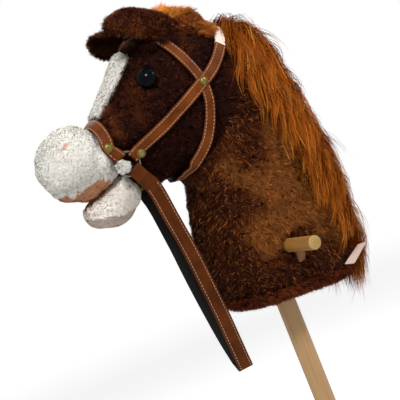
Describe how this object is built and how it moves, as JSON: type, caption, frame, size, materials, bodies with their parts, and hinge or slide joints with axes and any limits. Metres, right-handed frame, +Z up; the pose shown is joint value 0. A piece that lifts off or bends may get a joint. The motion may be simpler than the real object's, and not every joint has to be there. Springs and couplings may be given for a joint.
{
  "type": "hobby horse",
  "caption": "Plush horse's head and neck on a round wooden stick, with a cross handle peg and a strap bridle whose rein swings on rings.",
  "frame": {"origin": "centre of the stick's flat foot", "axes": "+Z up along the stick, the nose points to -X, -Y is the horse's left side, the handle peg runs along Y"},
  "size_m": [0.3445, 0.228, 0.9088],
  "materials": {
    "beech": "satin",
    "peg_wood": "satin",
    "brown_plush": "matte",
    "dark_plush": "matte",
    "filling": "matte",
    "cream_plush": "matte",
    "peach_plush": "matte",
    "ear_cloth": "matte",
    "mane_pile": "matte",
    "eye_black": "gloss",
    "washer_plastic": "matte",
    "strap_brown": "satin",
    "elastic_cream": "matte",
    "antique_brass": "satin",
    "ring_steel": "polished",
    "tag_cloth": "matte"
  },
  "bodies": {
    "horse": {"stick": "beech", "handle_peg": "peg_wood", "peg_wedge": "peg_wood", "neck_skin": "brown_plush", "neck_gusset": "dark_plush", "neck_filling": "filling", "head_skin": "brown_plush", "head_filling": "filling", "muzzle": "cream_plush", "lower_lip": "cream_plush", "mouth_lining": "peach_plush", "blaze": "cream_plush", "forelock": "mane_pile", "mane": "mane_pile", "ear_left": "brown_plush", "ear_right": "brown_plush", "ear_lining_left": "ear_cloth", "ear_lining_right": "ear_cloth", "eye_left": "eye_black", "eye_right": "eye_black", "eye_washer_left": "washer_plastic", "eye_washer_right": "washer_plastic", "noseband": "strap_brown", "cheek_strap_left": "strap_brown", "cheek_strap_right": "strap_brown", "browband": "strap_brown", "throatlatch": "strap_brown", "poll_elastic": "elastic_cream", "cheek_rivet_left": "antique_brass", "cheek_rivet_right": "antique_brass", "cross_rivet_left": "antique_brass", "cross_rivet_right": "antique_brass", "nose_rivet_left": "antique_brass", "nose_rivet_right": "antique_brass", "tag": "tag_cloth"},
    "rein": {"rein": "strap_brown", "rein_rivet_left": "antique_brass", "rein_rivet_right": "antique_brass"},
    "ring_left": {"ring_left": "ring_steel"},
    "ring_right": {"ring_right": "ring_steel"}
  },
  "joints": [
    {"name": "rein_swing", "type": "hinge", "parent": "horse", "child": "rein", "pos_m": [-0.11595, 0.0026, 0.762], "axis": [0.2524, 0.9657, -0.061], "range_deg": [0, 25]},
    {"name": "ring_left_turn", "type": "hinge", "parent": "horse", "child": "ring_left", "pos_m": [-0.1263, -0.037, 0.7645], "axis": [0.2524, 0.9657, -0.061], "continuous": true},
    {"name": "ring_right_turn", "type": "hinge", "parent": "horse", "child": "ring_right", "pos_m": [-0.1056, 0.0422, 0.7595], "axis": [0.2524, 0.9657, -0.061], "continuous": true}
  ]
}
